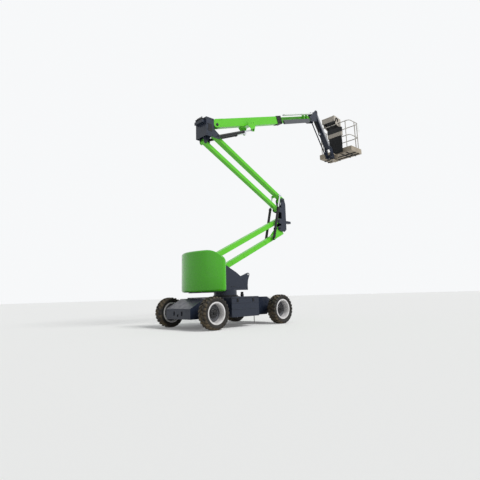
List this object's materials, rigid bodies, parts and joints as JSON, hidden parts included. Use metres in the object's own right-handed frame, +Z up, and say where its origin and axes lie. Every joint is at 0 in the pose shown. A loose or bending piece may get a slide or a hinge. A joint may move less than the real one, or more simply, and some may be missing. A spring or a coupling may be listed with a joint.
{
  "type": "articulating boom lift",
  "caption": "Self-propelled articulating boom lift: wheeled chassis, slewing turret, two-stage folding tower, telescoping boom, jib and work platform.",
  "frame": {"origin": "on the ground under the slewing axis, at the middle of the chassis", "axes": "+X forward to the platform's end, +Y to the left, +Z up"},
  "size_m": [8.9397, 2.3, 8.4383],
  "materials": {
    "tyre": "dusty rubber",
    "rim": "silver paint",
    "slate": "satin paint",
    "green": "gloss paint",
    "cover_green": "gloss",
    "black": "satin paint",
    "chrome": "polished",
    "iron": "painted casting",
    "battery": "matte",
    "rubber": "matte",
    "tray": "white paint",
    "beige": "dusty paint",
    "rail": "satin",
    "console": "satin",
    "fabric": "woven",
    "grey": "satin paint"
  },
  "bodies": {
    "chassis": {"chassis_frame": "slate", "battery_boxes": "slate", "batteries": "battery", "drive_axle": "black", "steer_axle": "black", "slew_ring": "black", "ground_strap": "rubber"},
    "knuckle_left": {"steer_knuckle_left": "black"},
    "knuckle_right": {"steer_knuckle_right": "black"},
    "wheel_front_left": {"tyre_front_left": "tyre", "rim_front_left": "rim"},
    "wheel_front_right": {"tyre_front_right": "tyre", "rim_front_right": "rim"},
    "wheel_rear_left": {"tyre_rear_left": "tyre", "rim_rear_left": "rim"},
    "wheel_rear_right": {"tyre_rear_right": "tyre", "rim_rear_right": "rim"},
    "turntable": {"turntable_frame": "slate", "tail_cover": "cover_green", "counterweight": "iron", "ground_controls": "slate"},
    "tower_lower_arm": {"lower_arm": "green"},
    "tower_lower_link": {"lower_link": "green"},
    "knee": {"mid_knuckle": "slate"},
    "tower_upper_link": {"upper_link": "green"},
    "tower_upper_arm": {"upper_arm": "green"},
    "tower_barrels": {"tower_ram_barrels": "black"},
    "tower_rods": {"tower_ram_rods": "chrome"},
    "head": {"top_knuckle": "slate"},
    "boom_barrels": {"boom_ram_barrels": "black"},
    "boom_rods": {"boom_ram_rods": "chrome"},
    "boom": {"main_boom": "green", "boom_collar": "black"},
    "fly": {"fly_boom": "green", "hose_tray": "tray", "hose_trough": "grey"},
    "jib_root": {"jib_base": "slate"},
    "jib": {"jib_arm": "slate"},
    "jib_level": {"jib_links": "slate"},
    "jib_barrel": {"jib_ram_barrel": "black"},
    "jib_rod": {"jib_ram_rod": "chrome"},
    "bracket": {"platform_bracket": "slate"},
    "platform": {"platform_floor": "beige", "platform_rails": "rail", "middle_rail": "rail", "rail_posts": "rail", "control_console": "console", "console_shroud": "black", "pale_panel": "console", "tool_bag": "fabric"},
    "gate": {"gate_bar": "rail"}
  },
  "joints": [
    {"name": "steer_left", "type": "hinge", "parent": "chassis", "child": "knuckle_left", "pos_m": [-1.27, 0.79, 0.42], "axis": [0, 0, 1], "range_deg": [-30, 30]},
    {"name": "steer_right", "type": "hinge", "parent": "chassis", "child": "knuckle_right", "pos_m": [-1.27, -0.79, 0.42], "axis": [0, 0, 1], "range_deg": [-30.5, 30.5]},
    {"name": "roll_front_left", "type": "hinge", "parent": "chassis", "child": "wheel_front_left", "pos_m": [1.27, 1, 0.42], "axis": [0, 1, 0], "continuous": true},
    {"name": "roll_front_right", "type": "hinge", "parent": "chassis", "child": "wheel_front_right", "pos_m": [1.27, -1, 0.42], "axis": [0, 1, 0], "continuous": true},
    {"name": "roll_rear_left", "type": "hinge", "parent": "knuckle_left", "child": "wheel_rear_left", "pos_m": [-1.27, 1, 0.42], "axis": [0, 1, 0], "continuous": true},
    {"name": "roll_rear_right", "type": "hinge", "parent": "knuckle_right", "child": "wheel_rear_right", "pos_m": [-1.27, -1, 0.42], "axis": [0, 1, 0], "continuous": true},
    {"name": "slew", "type": "hinge", "parent": "chassis", "child": "turntable", "pos_m": [0, 0, 0.86], "axis": [0, 0, 1], "continuous": true},
    {"name": "tower_raise", "type": "hinge", "parent": "turntable", "child": "tower_lower_arm", "pos_m": [-0.828, 0, 1.512], "axis": [0, -1, 0], "range_deg": [-28, 34]},
    {"name": "lower_link_turn", "type": "hinge", "parent": "turntable", "child": "tower_lower_link", "pos_m": [-0.868, 0, 1.762], "axis": [0, -1, 0], "range_deg": [-28.5, 34.5]},
    {"name": "knee_level", "type": "hinge", "parent": "tower_lower_arm", "child": "knee", "pos_m": [2.46012, 0, 3.08035], "axis": [0, -1, 0], "range_deg": [-34.5, 28.5]},
    {"name": "upper_link_turn", "type": "hinge", "parent": "knee", "child": "tower_upper_link", "pos_m": [2.45012, 0, 3.74035], "axis": [0, -1, 0], "range_deg": [-34.5, 28.5]},
    {"name": "upper_arm_turn", "type": "hinge", "parent": "knee", "child": "tower_upper_arm", "pos_m": [2.64012, 0, 4.08035], "axis": [0, -1, 0], "range_deg": [-34.5, 28.5]},
    {"name": "head_level", "type": "hinge", "parent": "tower_upper_arm", "child": "head", "pos_m": [-0.57646, 0, 5.79064], "axis": [0, -1, 0], "range_deg": [-28.5, 34.5]},
    {"name": "tower_ram_turn", "type": "hinge", "parent": "tower_lower_arm", "child": "tower_barrels", "pos_m": [2.05012, 0, 2.67535], "axis": [0, -1, 0], "range_deg": [-26.27, 21.72]},
    {"name": "tower_ram_slide", "type": "slide", "parent": "tower_barrels", "child": "tower_rods", "axis": [0.2513, 0, 0.9679], "range_m": [-0.2283, 0.2765]},
    {"name": "boom_raise", "type": "hinge", "parent": "head", "child": "boom", "pos_m": [-0.29946, 0, 6.13064], "axis": [0, -1, 0], "range_deg": [-18, 57]},
    {"name": "boom_ram_turn", "type": "hinge", "parent": "head", "child": "boom_barrels", "pos_m": [-0.37946, 0, 5.68064], "axis": [0, -1, 0], "range_deg": [-15.31, 47.39]},
    {"name": "boom_ram_slide", "type": "slide", "parent": "boom_barrels", "child": "boom_rods", "axis": [0.9261, 0, 0.3772], "range_m": [-0.0945, 0.2926]},
    {"name": "fly_extend", "type": "slide", "parent": "boom", "child": "fly", "axis": [0.95, 0, 0.3123], "range_m": [-1.35, 0.3]},
    {"name": "jib_root_level", "type": "hinge", "parent": "fly", "child": "jib_root", "pos_m": [4.66699, 0, 7.76352], "axis": [0, -1, 0], "range_deg": [-57.5, 18.5]},
    {"name": "jib_raise", "type": "hinge", "parent": "jib_root", "child": "jib", "pos_m": [5.05999, 0, 8.18052], "axis": [0, -1, 0], "range_deg": [-10, 120]},
    {"name": "jib_link_turn", "type": "hinge", "parent": "jib_root", "child": "jib_level", "pos_m": [5.09999, 0, 7.85052], "axis": [0, -1, 0], "range_deg": [-10.5, 120.5]},
    {"name": "bracket_level", "type": "hinge", "parent": "jib", "child": "bracket", "pos_m": [5.91967, 0, 6.8311], "axis": [0, -1, 0], "range_deg": [-120.5, 10.5]},
    {"name": "jib_ram_turn", "type": "hinge", "parent": "jib_root", "child": "jib_barrel", "pos_m": [5.03999, 0, 7.92052], "axis": [0, -1, 0], "range_deg": [-10.37, 118.96]},
    {"name": "jib_ram_slide", "type": "slide", "parent": "jib_barrel", "child": "jib_rod", "axis": [0.5453, 0, -0.8383], "range_m": [-0.0394, 0.4393]},
    {"name": "platform_turn", "type": "hinge", "parent": "bracket", "child": "platform", "pos_m": [6.18967, 0, 6.4011], "axis": [0, 0, 1], "range_deg": [-80, 80]},
    {"name": "gate_lift", "type": "slide", "parent": "platform", "child": "gate", "axis": [0, 0, 1], "range_m": [0, 0.42]}
  ],
  "couplings": [
    {"joint": "steer_right", "follows": "steer_left", "ratio": 1},
    {"joint": "lower_link_turn", "follows": "tower_raise", "ratio": 1},
    {"joint": "knee_level", "follows": "tower_raise", "ratio": -1},
    {"joint": "upper_link_turn", "follows": "tower_raise", "ratio": -1},
    {"joint": "upper_arm_turn", "follows": "tower_raise", "ratio": -1},
    {"joint": "head_level", "follows": "tower_raise", "ratio": 1},
    {"joint": "tower_ram_turn", "follows": "tower_raise", "ratio": -0.7578},
    {"joint": "tower_ram_slide", "follows": "tower_raise", "m_per_rad": 0.46092},
    {"joint": "boom_ram_turn", "follows": "boom_raise", "ratio": 0.8226},
    {"joint": "boom_ram_slide", "follows": "boom_raise", "m_per_rad": 0.29108},
    {"joint": "jib_root_level", "follows": "boom_raise", "ratio": -1},
    {"joint": "jib_link_turn", "follows": "jib_raise", "ratio": 1},
    {"joint": "bracket_level", "follows": "jib_raise", "ratio": -1},
    {"joint": "jib_ram_turn", "follows": "jib_raise", "ratio": 0.9872},
    {"joint": "jib_ram_slide", "follows": "jib_raise", "m_per_rad": 0.20831}
  ]
}
